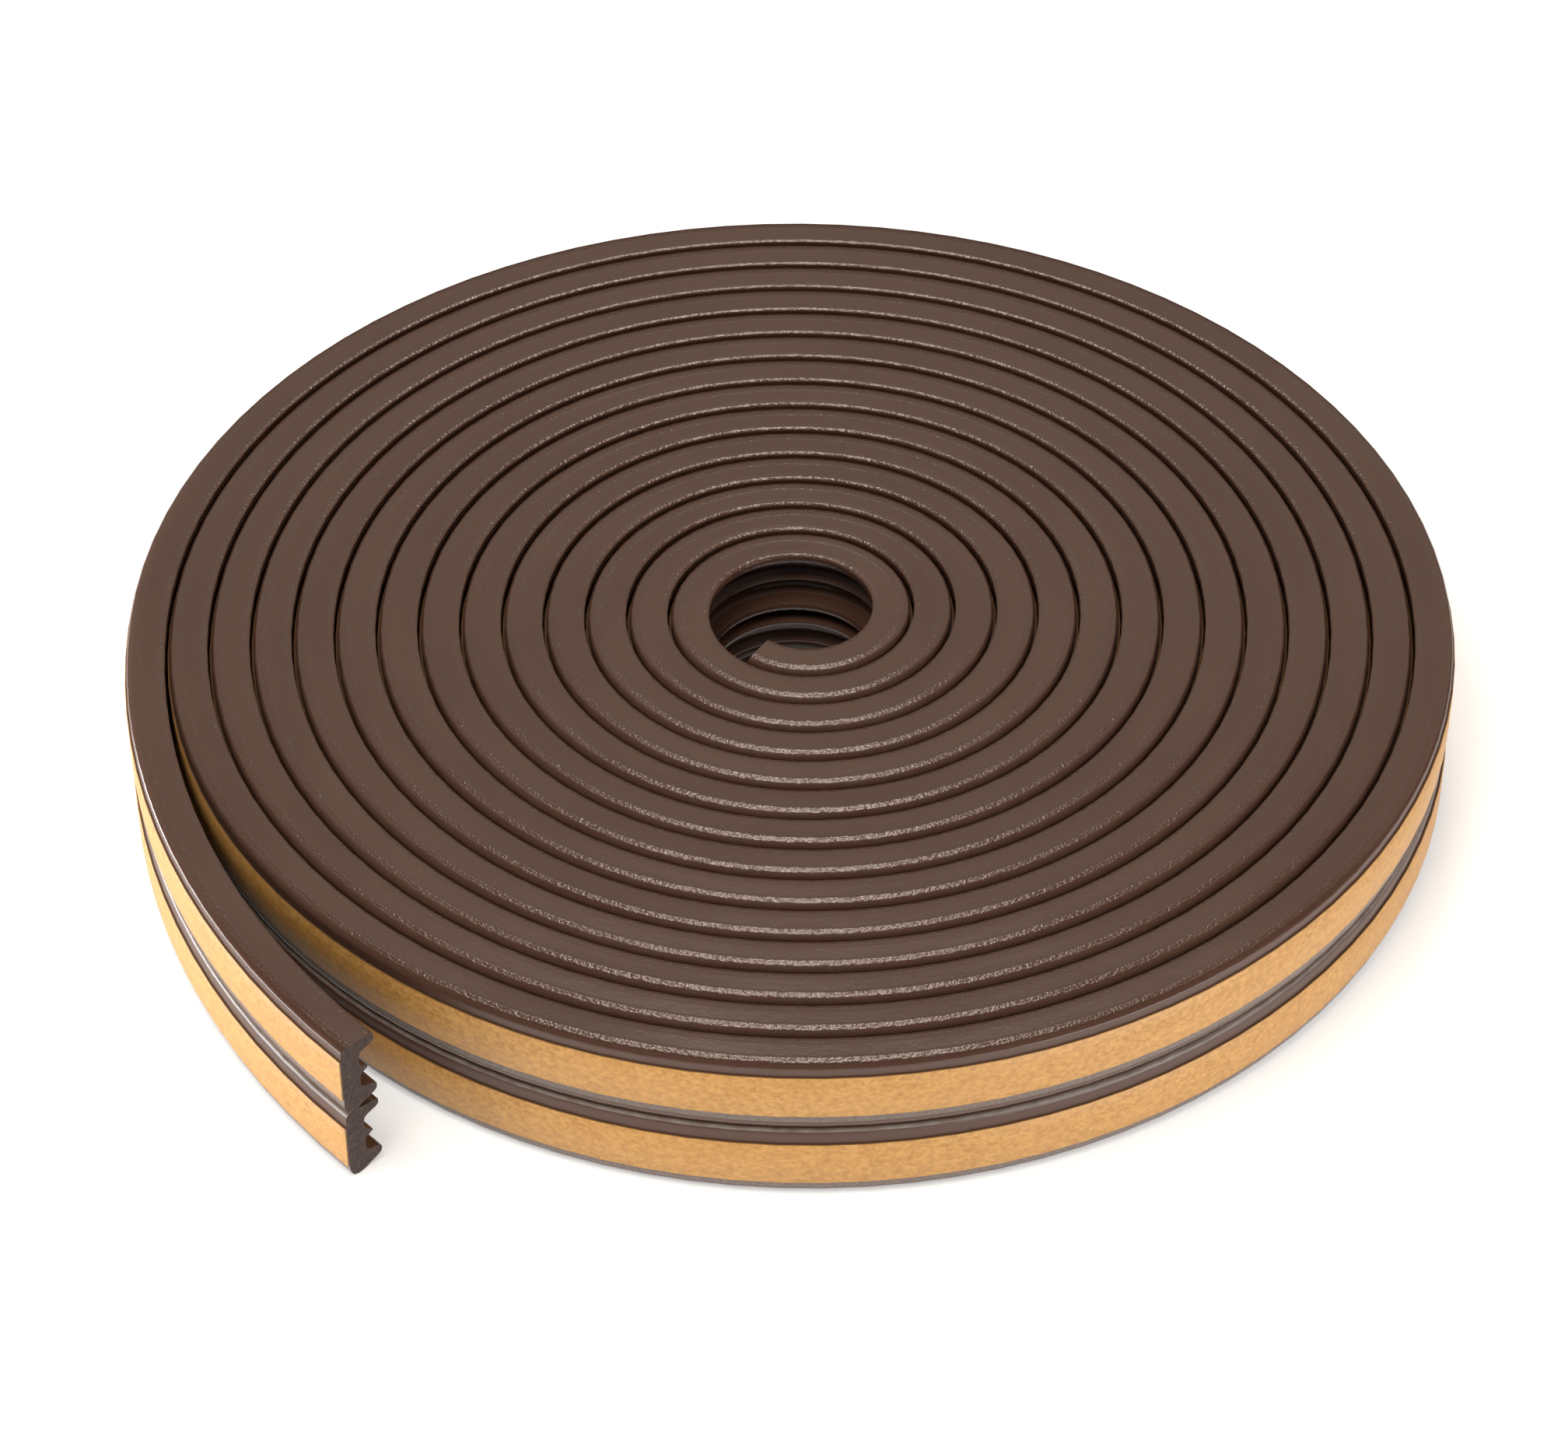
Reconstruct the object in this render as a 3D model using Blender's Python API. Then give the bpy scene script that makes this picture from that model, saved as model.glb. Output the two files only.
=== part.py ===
# Coil of door and window seal strip.
#
# Two E-section strips of brown foam rubber, side by side and joined by a thin neck, are
# wound as one twin strip into a flat coil that lies on its side. The glued back faces
# outwards and each strip's back wears a paper release liner. The last stretch of the
# outermost turn springs away from the coil and ends in a square cut.
#
# The coil is one solid of spiral turns, and the spiral groove between the turns shows on
# both of its ends. Lengths are in metres, and +Z is up.

import math

import bmesh
import bpy

MM = 0.001

# One strip, as its cut end shows it. Depth is measured from the glued back towards the
# lips, and drop from the strip's top side downwards.
STRIP_WIDTH = 9.0 * MM
STRIP_DEPTH = 4.05 * MM
STRIPS = 2
WEB_DEPTH = 2.15 * MM
TOOTH_DEPTH = 3.2 * MM
TOOTH_HALF_ROOT = 0.7 * MM
GROOVE_ROUND = 0.3 * MM
LIP_ROUND = 0.3 * MM
UPPER_LIP_TIP = 0.55 * MM
UPPER_LIP_ROOT = 1.75 * MM
LOWER_LIP_ROOT = 2.5 * MM
LOWER_LIP_TIP = 1.7 * MM
LOWER_LIP_SIDE = 1.15 * MM

# Its rounded shoulders, the neck that joins the two strips, and the narrow land that the
# coil rests on.
SHOULDER_DEPTH = 1.0 * MM
SHOULDER_DROP = 1.35 * MM
LOWER_SHOULDER_DROP = 1.7 * MM
NECK_BACK = 0.7 * MM
NECK_THICKNESS = 0.6 * MM
LAND_BACK = 0.8 * MM
LAND_WIDTH = 0.8 * MM

# The coil, seen from above: it starts at the bore and winds outwards, counter-clockwise.
BORE_START_RADIUS = 6.23 * MM
START_ANGLE = math.radians(-124.0)
TURNS = 14
TURN_GAP = 0.45 * MM
LOOSE_ANGLE = math.radians(54.0)
LOOSE_END_LIFT = 7.65 * MM
STATIONS_PER_TURN = 40

# The release liners lie on a film of adhesive. Each drop is from its strip's top side.
ADHESIVE_FILM = 0.1 * MM
LINER_THICKNESS = 0.15 * MM
LINER_WIDTH = 5.4 * MM
UPPER_LINER_DROP = 1.4 * MM
LOWER_LINER_DROP = 1.85 * MM
LINER_END_CLEARANCE = 0.3 * MM

PITCH = STRIP_DEPTH + TURN_GAP
HEIGHT = STRIPS * STRIP_WIDTH
STEP = 2 * math.pi / STATIONS_PER_TURN
LAST = round(TURNS * STATIONS_PER_TURN)
PARTING = LAST - round(LOOSE_ANGLE / STEP)
BARE_START = PARTING - STATIONS_PER_TURN
SHARP_ANGLE = math.radians(30)

# Places on the section that the turned solid's ends are built from.
TOP_LIP = (STRIP_DEPTH - LIP_ROUND, 0.0)
TOP_SHOULDER = (SHOULDER_DEPTH, 0.0)
TOP_GROOVE = (-TURN_GAP / 2, SHOULDER_DROP)
BOTTOM_LIP = (STRIP_DEPTH - LIP_ROUND, HEIGHT - LOWER_LIP_SIDE)
LAND_INNER = (LAND_BACK + LAND_WIDTH, HEIGHT)
LAND_OUTER = (LAND_BACK, HEIGHT)
BOTTOM_GROOVE = (-TURN_GAP / 2, HEIGHT - LOWER_SHOULDER_DROP)


def back_radius(station):
    """Distance of the glued back from the coil's axis, with the loose end's lift."""
    wound = BORE_START_RADIUS + STRIP_DEPTH + PITCH * station / STATIONS_PER_TURN
    loose = max(0.0, station - PARTING) / (LAST - PARTING)
    return wound + LOOSE_END_LIFT * loose ** 2


def coil_point(station, depth, drop):
    """A place on the section at one station, measured from the coil's axis."""
    angle = START_ANGLE + STEP * station
    radius = back_radius(station) - depth
    return radius * math.cos(angle), radius * math.sin(angle), HEIGHT - drop


def outline_centre():
    """Middle of the coil's outline, which the part's origin lies under."""
    skin = ADHESIVE_FILM + LINER_THICKNESS
    edge = [coil_point(station, -skin, 0.0) for station in range(BARE_START, LAST + 1)]
    xs = [point[0] for point in edge]
    ys = [point[1] for point in edge]
    return (min(xs) + max(xs)) / 2, (min(ys) + max(ys)) / 2


def groove(top, bottom):
    """One round-bottomed groove between two lips or teeth."""
    side = WEB_DEPTH + GROOVE_ROUND
    return [(side, top), (WEB_DEPTH, (top + bottom) / 2), (side, bottom)]


def teeth_side():
    """The toothed side of the twin strip, from the top lip down to the bottom lip."""
    lower_root = STRIP_WIDTH - LOWER_LIP_ROOT
    tooth = (UPPER_LIP_ROOT + lower_root) / 2
    strip = [
        TOP_LIP,
        (STRIP_DEPTH, UPPER_LIP_TIP),
        *groove(UPPER_LIP_ROOT, tooth - TOOTH_HALF_ROOT),
        (TOOTH_DEPTH, tooth),
        *groove(tooth + TOOTH_HALF_ROOT, lower_root),
        (STRIP_DEPTH, STRIP_WIDTH - LOWER_LIP_TIP),
        (STRIP_DEPTH - LIP_ROUND, STRIP_WIDTH - LOWER_LIP_SIDE),
    ]
    side = []
    for index in range(STRIPS):
        start = index * STRIP_WIDTH
        if index > 0:
            side.append((NECK_BACK + NECK_THICKNESS, start))
        side.extend((depth, start + drop) for depth, drop in strip)
    side[-1] = BOTTOM_LIP
    return side


def back_side():
    """The glued side, from the top shoulder down to the land."""
    side = [TOP_SHOULDER]
    for index in range(STRIPS):
        start = index * STRIP_WIDTH
        round_depth = SHOULDER_DEPTH
        if index > 0:
            round_depth = NECK_BACK
            side.append((NECK_BACK, start))
        diagonal = 1 - math.cos(math.pi / 4)
        side.append((round_depth * diagonal, start + SHOULDER_DROP * diagonal))
        side.append((0.0, start + SHOULDER_DROP))
        side.append((0.0, start + STRIP_WIDTH - LOWER_SHOULDER_DROP))
    side.append(LAND_OUTER)
    return side


class Skin:
    """A closed surface built from places on the section at the coil's stations."""

    def __init__(self):
        self.mesh = bmesh.new()
        self.corners = {}
        self.centre = outline_centre()

    def corner(self, station, place):
        if (station, place) not in self.corners:
            x, y, z = coil_point(station, *place)
            point = (x - self.centre[0], y - self.centre[1], z)
            self.corners[station, place] = self.mesh.verts.new(point)
        return self.corners[station, place]

    def band(self, stations, near, far, ahead=0):
        """Faces from one place to another, which may lie on a turn further out."""
        for first, second in zip(stations, stations[1:]):
            self.mesh.faces.new((
                self.corner(first, near),
                self.corner(second, near),
                self.corner(second + ahead, far),
                self.corner(first + ahead, far),
            ))

    def bands(self, stations, places):
        for near, far in zip(places, places[1:]):
            self.band(stations, near, far)

    def cap(self, rim):
        self.mesh.faces.new([self.corner(station, place) for station, place in rim])

    def finish(self, name, material):
        """Turn the faces outwards and make the named object."""
        bmesh.ops.recalc_face_normals(self.mesh, faces=self.mesh.faces)
        data = bpy.data.meshes.new(name)
        self.mesh.to_mesh(data)
        self.mesh.free()
        data.shade_smooth()
        data.set_sharp_from_angle(angle=SHARP_ANGLE)
        data.materials.append(material)
        piece = bpy.data.objects.new(name, data)
        bpy.context.scene.collection.objects.link(piece)
        return piece


def make_material(name, colour, roughness):
    material = bpy.data.materials.new(name)
    material.use_nodes = True
    surface = material.node_tree.nodes["Principled BSDF"]
    surface.inputs["Base Color"].default_value = (*colour, 1.0)
    surface.inputs["Roughness"].default_value = roughness
    surface.inputs["Metallic"].default_value = 0.0
    return material


def at(station, places):
    return [(station, place) for place in places]


def make_seal_strip():
    """The foam coil: grooved ends, toothed bore, bare back and the loose end."""
    teeth = teeth_side()
    back = back_side()
    skin = Skin()
    every = range(LAST + 1)
    joined = range(BARE_START + 1)

    skin.band(every, TOP_LIP, TOP_SHOULDER)
    skin.band(joined, TOP_SHOULDER, TOP_GROOVE)
    skin.band(joined, TOP_GROOVE, TOP_LIP, STATIONS_PER_TURN)

    skin.band(every, BOTTOM_LIP, LAND_INNER)
    skin.band(every, LAND_INNER, LAND_OUTER)
    skin.band(joined, LAND_OUTER, BOTTOM_GROOVE)
    skin.band(joined, BOTTOM_GROOVE, BOTTOM_LIP, STATIONS_PER_TURN)

    skin.bands(range(STATIONS_PER_TURN + 1), teeth)
    skin.bands(range(BARE_START, LAST + 1), back)
    skin.bands(range(PARTING, LAST + 1), teeth)

    inner_end = at(0, [LAND_INNER, *teeth[::-1], TOP_SHOULDER, TOP_GROOVE])
    skin.cap(inner_end + at(STATIONS_PER_TURN, teeth) + at(0, [BOTTOM_GROOVE, LAND_OUTER]))
    parting = at(BARE_START, [BOTTOM_GROOVE, *back[::-1], TOP_GROOVE])
    skin.cap(parting + at(PARTING, teeth))
    skin.cap(at(LAST, [*back, LAND_INNER, *teeth[::-1]]))
    return skin.finish("seal_strip", make_material("foam_rubber", (0.105, 0.068, 0.05), 0.6))


def make_liner(name, top, material):
    """The release paper on the bare back of one strip, up to the loose end's cut."""
    inner = -ADHESIVE_FILM
    outer = -ADHESIVE_FILM - LINER_THICKNESS
    bottom = top + LINER_WIDTH
    rim = [(inner, top), (outer, top), (outer, bottom), (inner, bottom)]
    start = BARE_START + LINER_END_CLEARANCE / (STEP * back_radius(BARE_START))
    stations = [start, *range(BARE_START + 1, LAST + 1)]
    skin = Skin()
    skin.bands(stations, [*rim, rim[0]])
    skin.cap(at(start, rim))
    skin.cap(at(LAST, rim))
    return skin.finish(name, material)


for leftover in list(bpy.data.objects):
    bpy.data.objects.remove(leftover)

make_seal_strip()
paper = make_material("liner_paper", (0.62, 0.36, 0.13), 0.75)
make_liner("liner_upper", UPPER_LINER_DROP, paper)
make_liner("liner_lower", STRIP_WIDTH + LOWER_LINER_DROP, paper)
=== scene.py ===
# A coil of door and window seal strip: brown foam rubber with an E section, two strips side by
# side, wound with its glued back outwards and lying flat. Metres, +Z up.

import math

import bpy
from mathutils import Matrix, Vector


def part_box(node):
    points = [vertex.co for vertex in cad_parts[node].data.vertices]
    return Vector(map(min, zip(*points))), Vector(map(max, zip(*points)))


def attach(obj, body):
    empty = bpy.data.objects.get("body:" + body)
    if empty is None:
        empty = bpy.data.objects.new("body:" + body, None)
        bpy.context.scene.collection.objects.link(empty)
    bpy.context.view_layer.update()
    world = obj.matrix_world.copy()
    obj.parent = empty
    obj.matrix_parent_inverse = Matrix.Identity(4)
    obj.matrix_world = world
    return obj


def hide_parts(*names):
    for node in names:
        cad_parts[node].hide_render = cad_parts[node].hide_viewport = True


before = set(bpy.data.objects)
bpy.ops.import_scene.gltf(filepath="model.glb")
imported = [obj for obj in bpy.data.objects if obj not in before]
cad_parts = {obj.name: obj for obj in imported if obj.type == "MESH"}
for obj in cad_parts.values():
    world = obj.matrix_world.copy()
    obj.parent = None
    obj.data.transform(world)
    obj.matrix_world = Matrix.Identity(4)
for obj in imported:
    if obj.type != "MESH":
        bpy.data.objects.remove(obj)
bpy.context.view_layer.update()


# The twin strip. Foam rubber is extruded as two E-section strips with a thin neck between
# them, skinned smooth by the die, and wound 14 turns from the bore to a loose square-cut end.
# Its section is given in millimetres: depth in from the glued back, and drop from the top.

MM = 0.001
STRIP_WIDTH = 9.0 * MM
STRIP_DEPTH = 4.05 * MM
COIL_HEIGHT = 2 * STRIP_WIDTH
TURN_PITCH = 4.5 * MM
TURNS = 14
BORE_START_RADIUS = 6.23 * MM
START_ANGLE = math.radians(-124)
LOOSE_ANGLE = math.radians(54)
LOOSE_END_LIFT = 7.65 * MM
LINER_PROUD = 0.25 * MM
PATH_STATIONS = 1020
SOFT_EDGE_ANGLE = math.radians(50)


def back_radius(run):
    """Radius of the glued back after winding through the angle run."""
    parting = TURNS * math.tau - LOOSE_ANGLE
    loose = max(0.0, run - parting) / LOOSE_ANGLE
    wound = BORE_START_RADIUS + STRIP_DEPTH + TURN_PITCH * run / math.tau
    return wound + LOOSE_END_LIFT * loose ** 2


def find_axis():
    """The bore's axis, set so that the outer turns' outline is centred on the upper liner's box
    in model.glb. The bore's axis, from the frame's rule that the outline's middle is the
    origin.
    """
    first = (TURNS - 1) * math.tau - LOOSE_ANGLE
    steps = 53
    edge = []
    for step in range(steps):
        run = first + (math.tau + LOOSE_ANGLE) * step / (steps - 1)
        reach = back_radius(run) + LINER_PROUD
        edge.append((reach * math.cos(START_ANGLE + run), reach * math.sin(START_ANGLE + run)))
    low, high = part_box("liner_upper")
    axis = []
    for side in (0, 1):
        outline = [point[side] for point in edge]
        axis.append((low[side] + high[side]) / 2 - (min(outline) + max(outline)) / 2)
    return axis


AXIS_X, AXIS_Y = find_axis()


FLAT_SUPPORT = 0.05
FLAT_SUPPORT_SHARE = 0.03


def rounded_outline(corners):
    """A closed outline with rounded corners, from its first corner round to its last.

    A corner is a depth, a drop, how far before and after it its curve reaches, and the points
    on that curve. One more point at either end of the flat side between the last corner and
    the first keeps that side flat when it is shaded smooth.
    """
    places = [Vector(corner[:2]) for corner in corners]
    towards_last = (places[-1] - places[0]).normalized()
    outline = [places[0] + towards_last * (corners[0][2] + FLAT_SUPPORT)]
    for index, (_, _, reach_before, reach_after, points) in enumerate(corners):
        corner = places[index]
        before = places[index - 1] - corner
        after = places[(index + 1) % len(places)] - corner
        start = corner + before.normalized() * reach_before
        end = corner + after.normalized() * reach_after
        for step in range(points):
            t = step / max(points - 1, 1)
            outline.append(start.lerp(corner, t).lerp(corner.lerp(end, t), t))
    outline.append(end.lerp(places[0], FLAT_SUPPORT_SHARE))
    return [point * MM for point in outline]


LIP_DEPTH = 4.12
TOOTH_DEPTH = 3.35
WEB_DEPTH = 2.18
LIP_SLOPE_START = 3.3


def e_teeth(start, top_side):
    """Toothed side of one strip, from its lower lip up to its top lip."""
    return [
        (LIP_DEPTH, start + 7.9, 0.4, 0.4, 3),
        (LIP_DEPTH, start + 6.95, 0.4, 0.35, 3),
        (WEB_DEPTH, start + 6.45, 0.55, 0.5, 3),
        (WEB_DEPTH, start + 4.75, 0.5, 0.4, 3),
        (TOOTH_DEPTH, start + 4.12, 0.4, 0.4, 4),
        (WEB_DEPTH, start + 3.45, 0.4, 0.5, 3),
        (WEB_DEPTH, start + 1.75, 0.5, 0.55, 3),
        (LIP_DEPTH, start + 1.15, 0.4, 0.4, 3),
        (LIP_DEPTH, start + top_side + 0.11, 0.12, 0.12, 3),
        (LIP_SLOPE_START, start + top_side, 0.25, 0.25, 3),
    ]


WIDTH = STRIP_WIDTH / MM
NECK_BACK = 0.85
NECK_FRONT = 1.5
twin_section = rounded_outline([
    (1.2, 0.0, 0.17, 0.14, 3),
    (0.9, 0.043, 0.14, 0.17, 3),
    (0.32, 0.07, 0.12, 0.1, 2),
    (0.0, 0.4, 0.1, 0.4, 4),
    (0.0, WIDTH - 0.5, 0.7, 0.3, 3),
    (NECK_BACK, WIDTH - 0.1, 0.12, 0.12, 2),
    (0.28, WIDTH + 0.13, 0.14, 0.12, 3),
    (0.0, WIDTH + 0.5, 0.12, 0.4, 3),
    (0.0, 2 * WIDTH - 0.6, 1.1, 0.5, 3),
    (0.8, 2 * WIDTH, 0.15, 0.15, 2),
    (1.55, 2 * WIDTH, 0.3, 0.3, 2),
    *e_teeth(WIDTH, 0.3),
    (NECK_FRONT, WIDTH, 0.15, 0.15, 2),
    *e_teeth(0.0, 0.0),
])


def place(tree, kind, inputs=None, **settings):
    """Adds a node. Its inputs are values, or the sockets that they come from."""
    made = tree.nodes.new(kind)
    for name, value in settings.items():
        setattr(made, name, value)
    for key, value in (inputs or {}).items():
        if isinstance(value, bpy.types.NodeSocket):
            tree.links.new(value, made.inputs[key])
        else:
            made.inputs[key].default_value = value
    return made


def calculate(tree, operation, *values):
    """One Math node on numbers or sockets. Gives its output."""
    made = place(tree, "ShaderNodeMath", dict(enumerate(values)), operation=operation)
    return made.outputs[0]


def coil_path(tree, size):
    """Nodes for the strip's path: a spiral that springs outwards over its last stretch."""
    line = place(tree, "GeometryNodeMeshLine", {"Count": size["Stations"]})
    index = place(tree, "GeometryNodeInputIndex").outputs[0]
    last = calculate(tree, "SUBTRACT", size["Stations"], 1.0)
    share = calculate(tree, "DIVIDE", index, last)
    growth = calculate(tree, "MULTIPLY", size["Pitch"], size["Turns"])
    first = size["First Back Radius"]
    final = calculate(tree, "ADD", first, growth)
    first_power = calculate(tree, "POWER", first, 1.5)
    final_power = calculate(tree, "POWER", final, 1.5)
    span = calculate(tree, "SUBTRACT", final_power, first_power)
    wound_power = calculate(tree, "MULTIPLY_ADD", span, share, first_power)
    wound = calculate(tree, "POWER", wound_power, 2 / 3)
    grown = calculate(tree, "SUBTRACT", wound, first)
    turned = calculate(tree, "DIVIDE", grown, size["Pitch"])
    run = calculate(tree, "MULTIPLY", turned, math.tau)
    whole = calculate(tree, "MULTIPLY", size["Turns"], math.tau)
    parting = calculate(tree, "SUBTRACT", whole, size["Loose Angle"])
    past = calculate(tree, "SUBTRACT", run, parting)
    free = calculate(tree, "MAXIMUM", past, 0.0)
    loose = calculate(tree, "DIVIDE", free, size["Loose Angle"])
    spring = calculate(tree, "POWER", loose, 2.0)
    radius = calculate(tree, "MULTIPLY_ADD", size["End Lift"], spring, wound)
    angle = calculate(tree, "ADD", run, size["Start Angle"])
    out_x = calculate(tree, "MULTIPLY", radius, calculate(tree, "COSINE", angle))
    out_y = calculate(tree, "MULTIPLY", radius, calculate(tree, "SINE", angle))
    spot = place(tree, "ShaderNodeCombineXYZ", {
        "X": calculate(tree, "ADD", out_x, size["Axis X"]),
        "Y": calculate(tree, "ADD", out_y, size["Axis Y"]),
        "Z": size["Height"],
    })
    moved = place(tree, "GeometryNodeSetPosition", {
        "Geometry": line.outputs["Mesh"],
        "Position": spot.outputs[0],
    })
    curve = place(tree, "GeometryNodeMeshToCurve", {"Mesh": moved.outputs[0]})
    upright = place(tree, "GeometryNodeSetCurveNormal", {"Curve": curve.outputs[0]}, mode="Z_UP")
    along = place(tree, "GeometryNodeSplineParameter").outputs["Length"]
    marked = place(tree, "GeometryNodeStoreNamedAttribute", {
        "Geometry": upright.outputs[0],
        "Name": "along",
        "Value": along,
    }, data_type="FLOAT", domain="POINT")
    return marked.outputs[0]


PATH_SIZES = {
    "Stations": PATH_STATIONS,
    "Turns": float(TURNS),
    "Pitch": TURN_PITCH,
    "First Back Radius": BORE_START_RADIUS + STRIP_DEPTH,
    "Start Angle": START_ANGLE,
    "Loose Angle": LOOSE_ANGLE,
    "End Lift": LOOSE_END_LIFT,
    "Axis X": AXIS_X,
    "Axis Y": AXIS_Y,
    "Height": COIL_HEIGHT,
}


def winding_tree(name, side_finish, end_finish):
    """Geometry Nodes that sweep a section along the coil's path and finish it."""
    tree = bpy.data.node_groups.new(name, "GeometryNodeTree")
    tree.is_modifier = True
    tree.interface.new_socket("Section", in_out="INPUT", socket_type="NodeSocketGeometry")
    for size in PATH_SIZES:
        kind = "NodeSocketInt" if size == "Stations" else "NodeSocketFloat"
        tree.interface.new_socket(size, in_out="INPUT", socket_type=kind)
    tree.interface.new_socket("Strip", in_out="OUTPUT", socket_type="NodeSocketGeometry")
    given = tree.nodes.new("NodeGroupInput")
    path = coil_path(tree, given.outputs)
    section = place(tree, "GeometryNodeMeshToCurve", {"Mesh": given.outputs["Section"]})
    across = place(tree, "GeometryNodeStoreNamedAttribute", {
        "Geometry": section.outputs[0],
        "Name": "across",
        "Value": place(tree, "GeometryNodeInputPosition").outputs[0],
    }, data_type="FLOAT_VECTOR", domain="POINT")
    swept = place(tree, "GeometryNodeCurveToMesh", {
        "Curve": path,
        "Profile Curve": across.outputs[0],
        "Fill Caps": True,
    })
    real = place(tree, "GeometryNodeRealizeInstances", {"Geometry": swept.outputs[0]})
    skinned = place(tree, "GeometryNodeSetMaterial", {
        "Geometry": real.outputs[0],
        "Material": side_finish,
    })
    corners = place(tree, "GeometryNodeCornersOfFace").outputs["Total"]
    is_end_cap = place(tree, "FunctionNodeCompare", {
        2: corners,
        3: 4,
    }, data_type="INT", operation="GREATER_THAN")
    ended = place(tree, "GeometryNodeSetMaterial", {
        "Geometry": skinned.outputs[0],
        "Selection": is_end_cap.outputs[0],
        "Material": end_finish,
    })
    result = tree.nodes.new("NodeGroupOutput")
    tree.links.new(ended.outputs[0], result.inputs["Strip"])
    return tree


def wind(name, outline, side_finish, end_finish):
    """Sweeps a closed outline along the coil and returns the plain mesh object."""
    data = bpy.data.meshes.new(name + "_section")
    points = [(-point.x, point.y, 0.0) for point in outline]
    edges = [(index, (index + 1) % len(points)) for index in range(len(points))]
    data.from_pydata(points, edges, [])
    guide = bpy.data.objects.new(name + "_guide", data)
    bpy.context.scene.collection.objects.link(guide)
    sweep = guide.modifiers.new("winding", "NODES")
    sweep.node_group = winding_tree(name + "_winding", side_finish, end_finish)
    for item in sweep.node_group.interface.items_tree:
        if item.in_out == "INPUT" and item.name in PATH_SIZES:
            sweep[item.identifier] = PATH_SIZES[item.name]
    bpy.context.view_layer.update()
    graph = bpy.context.evaluated_depsgraph_get()
    solid = bpy.data.meshes.new_from_object(guide.evaluated_get(graph), depsgraph=graph)
    bpy.data.objects.remove(guide)
    solid.name = name
    solid.shade_smooth()
    solid.set_sharp_from_angle(angle=SOFT_EDGE_ANGLE)
    piece = bpy.data.objects.new(name, solid)
    bpy.context.scene.collection.objects.link(piece)
    return piece


def new_surface(name, colour, roughness):
    """A material with its Principled BSDF, ready for detail nodes."""
    material = bpy.data.materials.new(name)
    material.use_nodes = True
    shader = material.node_tree.nodes["Principled BSDF"]
    shader.inputs["Base Color"].default_value = (*colour, 1.0)
    shader.inputs["Roughness"].default_value = roughness
    return material, material.node_tree, shader


def new_effect(name, values, result):
    """A shared shader effect. Gives its tree, its given values and where its result goes."""
    tree = bpy.data.node_groups.new(name, "ShaderNodeTree")
    for label, value in values.items():
        socket = tree.interface.new_socket(label, in_out="INPUT", socket_type="NodeSocketFloat")
        socket.default_value = value
    tree.interface.new_socket(result, in_out="OUTPUT", socket_type="NodeSocketFloat")
    given = tree.nodes.new("NodeGroupInput")
    results = tree.nodes.new("NodeGroupOutput")
    return tree, given.outputs, results.inputs[result]


def strip_place(tree):
    """Where a point is on the strip, in millimetres: along it, out from its back, and down."""
    along = place(tree, "ShaderNodeAttribute", attribute_name="along").outputs["Fac"]
    across = place(tree, "ShaderNodeAttribute", attribute_name="across").outputs["Vector"]
    parts = place(tree, "ShaderNodeSeparateXYZ", {0: across}).outputs
    in_metres = (along, parts["X"], parts["Y"])
    return [calculate(tree, "MULTIPLY", value, 1 / MM) for value in in_metres]


def strip_spot(tree, size, stretch):
    """The place on the strip as a texture spot, for features of a size in millimetres."""
    along, out, down = strip_place(tree)
    length = calculate(tree, "MULTIPLY", size, stretch)
    return place(tree, "ShaderNodeCombineXYZ", {
        "X": calculate(tree, "DIVIDE", along, length),
        "Y": calculate(tree, "DIVIDE", out, size),
        "Z": calculate(tree, "DIVIDE", down, size),
    }).outputs[0]


grain_group, given, result = new_effect("strip_grain", {
    "Size": 1.0,
    "Stretch": 1.0,
    "Detail": 2.0,
}, "Value")
noise = place(grain_group, "ShaderNodeTexNoise", {
    "Vector": strip_spot(grain_group, given["Size"], given["Stretch"]),
    "Scale": 1.0,
    "Detail": given["Detail"],
})
grain_group.links.new(noise.outputs[0], result)

cell_group, given, result = new_effect("foam_cells", {"Size": 0.3}, "Wall")
cells = place(cell_group, "ShaderNodeTexVoronoi", {
    "Vector": strip_spot(cell_group, given["Size"], 1.0),
    "Scale": 1.0,
}, feature="DISTANCE_TO_EDGE")
wall = calculate(cell_group, "MULTIPLY_ADD", cells.outputs["Distance"], -3.5, 1.0)
cell_group.links.new(calculate(cell_group, "MAXIMUM", wall, 0.0), result)

BAND_EDGE = 0.08
band_group, given, result = new_effect("back_band", {
    "Top": 0.0,
    "Bottom": 1.0,
    "Deepest": 0.5,
}, "Mask")
_, out, down = strip_place(band_group)
below_top = calculate(band_group, "SUBTRACT", down, given["Top"])
above_bottom = calculate(band_group, "SUBTRACT", given["Bottom"], down)
before_deepest = calculate(band_group, "ADD", given["Deepest"], out)
within = calculate(band_group, "MINIMUM", below_top, above_bottom)
within = calculate(band_group, "MINIMUM", within, before_deepest)
mask = place(band_group, "ShaderNodeMath", {
    0: within,
    1: 1 / BAND_EDGE,
    2: 0.5,
}, operation="MULTIPLY_ADD", use_clamp=True)
band_group.links.new(mask.outputs[0], result)


def use(tree, group, **values):
    """A shared effect in a material. Gives its result."""
    inputs = {key.title(): value for key, value in values.items()}
    made = place(tree, "ShaderNodeGroup", inputs, node_tree=group)
    return made.outputs[0]


def spread(tree, value, low, high, start=0.0, end=1.0):
    """A value from low to high, stretched and clamped to run from start to end."""
    sockets = {"Value": value, "From Min": low, "From Max": high, "To Min": start, "To Max": end}
    return place(tree, "ShaderNodeMapRange", sockets).outputs[0]


def blend(tree, share, first, second):
    """A colour between two. The first is three numbers or a socket, the second three numbers."""
    if isinstance(first, tuple):
        first = (*first, 1.0)
    colours = {0: share, 6: first, 7: (*second, 1.0)}
    return place(tree, "ShaderNodeMix", colours, data_type="RGBA").outputs[2]


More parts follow.
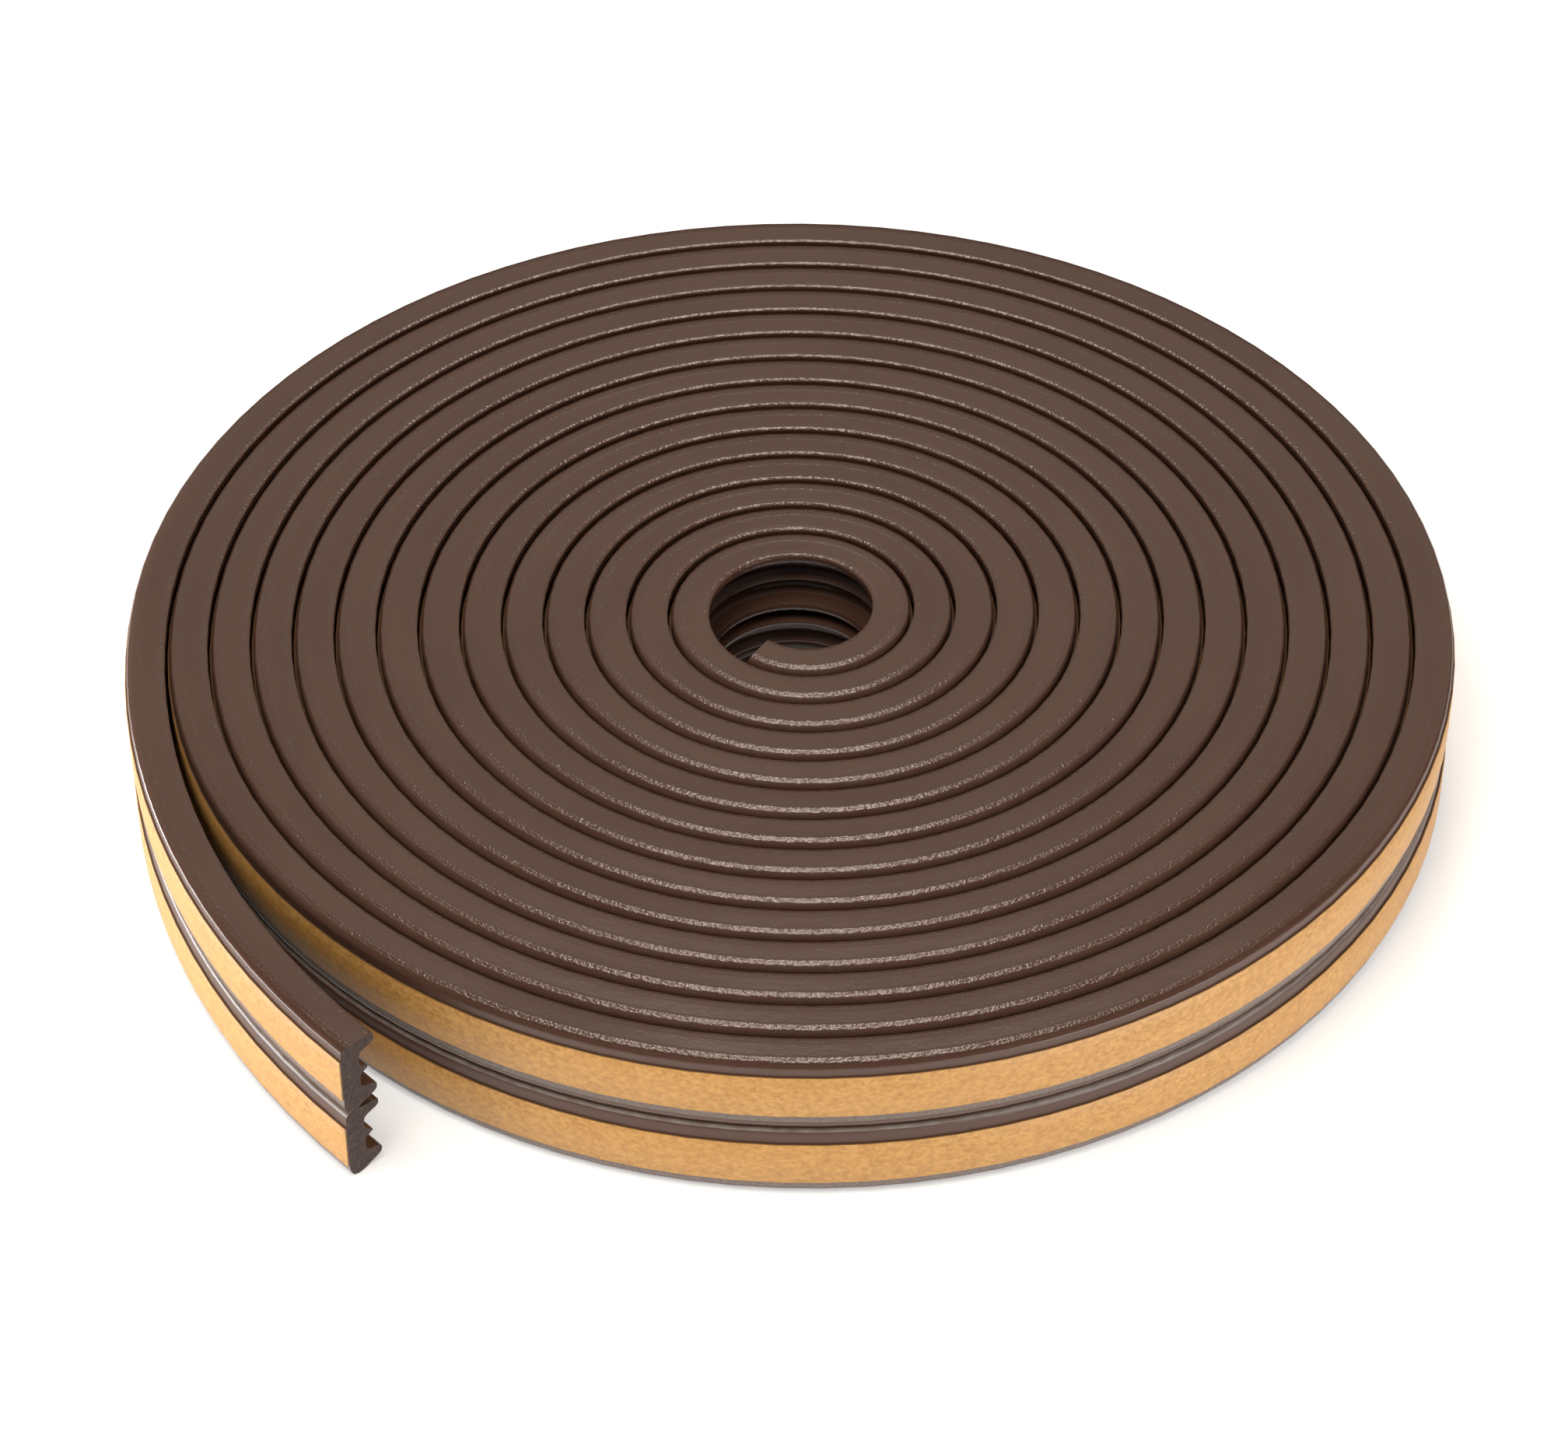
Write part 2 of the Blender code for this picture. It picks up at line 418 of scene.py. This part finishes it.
def roughen(tree, shader, relief, height):
    """Fine relief on a surface, as high as height in metres."""
    bump = place(tree, "ShaderNodeBump", {"Strength": 1.0, "Distance": height, "Height": relief})
    tree.links.new(bump.outputs[0], shader.inputs["Normal"])


LINER_WIDTH = 5.4
UPPER_LINER_TOP = 1.4
LOWER_LINER_TOP = WIDTH + 1.85
STEP_MIDDLE = 1.05
LIP_SLOPE_MIDDLE = 3.9

foam_skin, tree, shader = new_surface("foam_skin", (0.074, 0.034, 0.022), 0.2)
speckle = use(tree, grain_group, size=0.32, stretch=1.3, detail=2.0)
lumps = use(tree, grain_group, size=0.95, stretch=1.7, detail=1.5)
die_lines = use(tree, grain_group, size=0.2, stretch=150.0, detail=1.0)
mottle = use(tree, grain_group, size=6.0, stretch=4.0, detail=3.0)
dull_brown, warm_brown = (0.070, 0.031, 0.020), (0.079, 0.037, 0.024)
tone = blend(tree, spread(tree, mottle, 0.35, 0.65), dull_brown, warm_brown)
tone = blend(tree, spread(tree, speckle, 0.45, 0.75, 0.0, 0.3), tone, (0.095, 0.052, 0.038))

# Painted sheen: a speckled pale band on the back just below each liner stands in for the floor's
# light caught by the edge there.
upper_bottom = UPPER_LINER_TOP + LINER_WIDTH
lower_bottom = LOWER_LINER_TOP + LINER_WIDTH
upper_sheen_band = use(tree, band_group, top=upper_bottom - 0.02, bottom=7.75, deepest=0.35)
lower_sheen_band = use(tree, band_group, top=lower_bottom - 0.05, bottom=17.2, deepest=0.35)
sheen_band = calculate(tree, "MAXIMUM", upper_sheen_band, lower_sheen_band)
painted_sheen = calculate(tree, "MULTIPLY", sheen_band, spread(tree, speckle, 0.3, 0.7, 0.3, 0.65))
tone = blend(tree, painted_sheen, tone, (0.25, 0.21, 0.18))

# Painted sheen makes the top shoulder faintly pale, and a painted highlight makes the corner
# beside the neck paler, both broken up by the lumps.
shoulder_sheen = use(tree, band_group, top=0.5, bottom=1.3, deepest=0.3)
shoulder_sheen = calculate(tree, "MULTIPLY", shoulder_sheen, 0.06)
neck_corner_highlight = use(tree, band_group, top=WIDTH + 0.06, bottom=WIDTH + 0.34, deepest=0.5)
painted_highlights = calculate(tree, "MAXIMUM", shoulder_sheen, neck_corner_highlight)
painted_highlights = calculate(tree, "MULTIPLY", painted_highlights, spread(tree, lumps, 0.3, 0.7, 0.5, 1.0))
tone = blend(tree, painted_highlights, tone, (0.26, 0.21, 0.18))
tree.links.new(tone, shader.inputs["Base Color"])

# The die leaves the top glossy, and the back is duller.
upper_back = use(tree, band_group, top=0.3, bottom=7.9, deepest=0.3)
lower_back = use(tree, band_group, top=WIDTH + 0.2, bottom=17.4, deepest=0.6)
back = calculate(tree, "MAXIMUM", upper_back, lower_back)
gloss = spread(tree, back, 0.0, 1.0, 0.17, 0.38)
gloss = calculate(tree, "ADD", gloss, spread(tree, mottle, 0.3, 0.7, -0.02, 0.04))
tree.links.new(gloss, shader.inputs["Roughness"])

# The grain is strongest on the top's small step and on the slope to the lips.
_, out, _ = strip_place(tree)
from_step = calculate(tree, "ABSOLUTE", calculate(tree, "ADD", out, STEP_MIDDLE))
from_slope = calculate(tree, "ABSOLUTE", calculate(tree, "ADD", out, LIP_SLOPE_MIDDLE))
nearest = calculate(tree, "MINIMUM", from_step, from_slope)
grain = calculate(tree, "MULTIPLY", speckle, spread(tree, nearest, 0.25, 0.55, 2.3, 0.4))
relief = calculate(tree, "MULTIPLY_ADD", lumps, 0.5, grain)
relief = calculate(tree, "MULTIPLY_ADD", die_lines, 0.05, relief)
roughen(tree, shader, relief, 0.02 * MM)

# A cut end shows the open cells: pale walls round dark hollows.
foam_cut, tree, shader = new_surface("foam_cut", (0.03, 0.02, 0.017), 0.85)
wall = use(tree, cell_group, size=0.24)
fine_wall = use(tree, cell_group, size=0.13)
walls = calculate(tree, "MULTIPLY_ADD", fine_wall, 0.4, calculate(tree, "MULTIPLY", wall, 0.6))
patch = use(tree, grain_group, size=0.7, stretch=1.0, detail=2.0)
walls = calculate(tree, "MULTIPLY", walls, spread(tree, patch, 0.35, 0.65, 0.55, 1.2))
tone = blend(tree, walls, (0.012, 0.007, 0.006), (0.115, 0.072, 0.058))
tree.links.new(tone, shader.inputs["Base Color"])
roughen(tree, shader, walls, 0.12 * MM)

seal = wind("twin_foam_strip", twin_section, foam_skin, foam_cut)
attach(seal, "root")
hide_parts("seal_strip")


# The release liners. Each strip's back is coated with adhesive and covered by a band of tan
# glazed kraft paper, which stays on until the strip is stuck to its frame.

ADHESIVE_REACH = 0.02
LINER_OUTSIDE = LINER_PROUD / MM
PAPER_INSIDE = 0.13
CUT_EDGE = 0.05


def liner_outline(top):
    """Section of one liner with its adhesive, which lies on the strip's back."""
    bottom = top + LINER_WIDTH
    return rounded_outline([
        (-ADHESIVE_REACH, bottom, 0.0, 0.0, 1),
        (-ADHESIVE_REACH, top, 0.0, 0.0, 1),
        (-LINER_OUTSIDE, top, CUT_EDGE, CUT_EDGE, 2),
        (-LINER_OUTSIDE, bottom, CUT_EDGE, CUT_EDGE, 2),
    ])


liner_paper, tree, shader = new_surface("kraft_liner", (0.55, 0.28, 0.09), 0.5)
fibres = use(tree, grain_group, size=0.42, stretch=1.4, detail=3.0)
flecks = use(tree, grain_group, size=0.2, stretch=2.0, detail=1.0)
clouds = use(tree, grain_group, size=5.0, stretch=2.0, detail=2.0)
dark_tan, light_tan = (0.41, 0.195, 0.045), (0.60, 0.32, 0.095)
tone = blend(tree, spread(tree, fibres, 0.32, 0.68), dark_tan, light_tan)
tone = blend(tree, spread(tree, flecks, 0.6, 0.8, 0.0, 0.5), tone, (0.36, 0.155, 0.035))
tone = blend(tree, spread(tree, clouds, 0.35, 0.65, 0.0, 0.25), tone, (0.57, 0.285, 0.095))

# The cut edge shows brown paper, and the adhesive under it is darker.
_, out, _ = strip_place(tree)
edge = spread(tree, out, LINER_OUTSIDE - CUT_EDGE, LINER_OUTSIDE - 0.01, 1.0, 0.0)
tone = blend(tree, edge, tone, (0.20, 0.095, 0.035))
adhesive = spread(tree, out, PAPER_INSIDE - 0.03, PAPER_INSIDE, 1.0, 0.0)
tone = blend(tree, adhesive, tone, (0.10, 0.055, 0.03))
tree.links.new(tone, shader.inputs["Base Color"])
tree.links.new(spread(tree, fibres, 0.3, 0.7, 0.42, 0.58), shader.inputs["Roughness"])
relief = calculate(tree, "MULTIPLY_ADD", flecks, 0.4, fibres)
roughen(tree, shader, relief, 0.03 * MM)

for name, top, node in (
    ("release_liner_upper", UPPER_LINER_TOP, "liner_upper"),
    ("release_liner_lower", LOWER_LINER_TOP, "liner_lower"),
):
    liner = wind(name, liner_outline(top), liner_paper, liner_paper)
    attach(liner, "root")
    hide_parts(node)


# The studio: a plain white floor, two soft key lights above, and softboxes at the back and both
# sides. The camera is at the photograph's angle, looking down on the coil from its front.

FLOOR_REACH = 2.5
floor_mesh = bpy.data.meshes.new("floor")
floor_mesh.from_pydata([
    (-FLOOR_REACH, -FLOOR_REACH, 0.0),
    (FLOOR_REACH, -FLOOR_REACH, 0.0),
    (FLOOR_REACH, FLOOR_REACH, 0.0),
    (-FLOOR_REACH, FLOOR_REACH, 0.0),
], [], [(0, 1, 2, 3)])
floor = bpy.data.objects.new("floor", floor_mesh)
bpy.context.scene.collection.objects.link(floor)
floor_paint, _, shader = new_surface("floor_paint", (0.9, 0.9, 0.9), 0.9)
shader.inputs["Emission Color"].default_value = (1.0, 1.0, 1.0, 1.0)
shader.inputs["Emission Strength"].default_value = 0.4
floor_mesh.materials.append(floor_paint)

MIDDLE = (0.0, 0.0, 0.0)
COIL_FRONT = (0.0, 0.0, 0.01)
LOOSE_SIDE = (-0.05, -0.04, 0.01)
CREAM = (1.0, 0.97, 0.89)
PEACH = (1.0, 0.85, 0.76)
WARM = (1.0, 0.83, 0.68)
COOL = (0.98, 0.98, 1.0)
WHITE = (1.0, 1.0, 1.0)


def softbox(name, spot, aim, size, power, colour):
    """A rectangular area light that faces a point on the coil."""
    data = bpy.data.lights.new(name, "AREA")
    data.shape = "RECTANGLE"
    data.size, data.size_y = size
    data.energy = power
    data.color = colour
    lamp = bpy.data.objects.new(name, data)
    bpy.context.scene.collection.objects.link(lamp)
    lamp.location = spot
    lamp.rotation_euler = (Vector(aim) - Vector(spot)).to_track_quat("-Z", "Y").to_euler()
    return lamp


left_key = softbox("left_key_softbox", (-0.26, -0.26, 0.93), MIDDLE, (0.45, 0.45), 5.2, CREAM)
left_key.visible_glossy = False
right_key = softbox("right_key_softbox", (0.33, -0.33, 0.88), MIDDLE, (0.45, 0.45), 1.8, CREAM)
right_key.visible_glossy = False
softbox("highlight_softbox", (0.0, 0.86, 1.35), MIDDLE, (0.3, 0.19), 3.6, PEACH)
softbox("back_softbox", (0.0, 1.25, 1.03), MIDDLE, (3.0, 0.95), 6.4, WARM)
softbox("left_softbox", (-0.30, -0.03, 0.013), LOOSE_SIDE, (0.3, 0.022), 1.15, WHITE)
softbox("right_softbox", (0.58, -0.53, 0.05), COIL_FRONT, (0.6, 0.09), 3.8, COOL)

world = bpy.data.worlds.new("studio")
bpy.context.scene.world = world
world.use_nodes = True
backdrop = world.node_tree.nodes["Background"]
backdrop.inputs["Color"].default_value = (1.0, 1.0, 1.0, 1.0)
backdrop.inputs["Strength"].default_value = 0.1

CAMERA_BACK = 393.42 * MM
CAMERA_LEFT = 1.87 * MM
CAMERA_RISE = 333.13 * MM
CAMERA_TILT = math.radians(41.58)
LENS_LENGTH = 109.33
SENSOR_WIDTH = 36.0
camera_data = bpy.data.cameras.new("photo_camera")
camera_data.lens = LENS_LENGTH
camera_data.sensor_width = SENSOR_WIDTH
camera = bpy.data.objects.new("photo_camera", camera_data)
bpy.context.scene.collection.objects.link(camera)
camera.location = (AXIS_X - CAMERA_LEFT, AXIS_Y - CAMERA_BACK, COIL_HEIGHT + CAMERA_RISE)
camera.rotation_euler = (math.radians(90) - CAMERA_TILT, 0.0, 0.0)
bpy.context.scene.camera = camera
bpy.context.scene.view_settings.view_transform = "Standard"
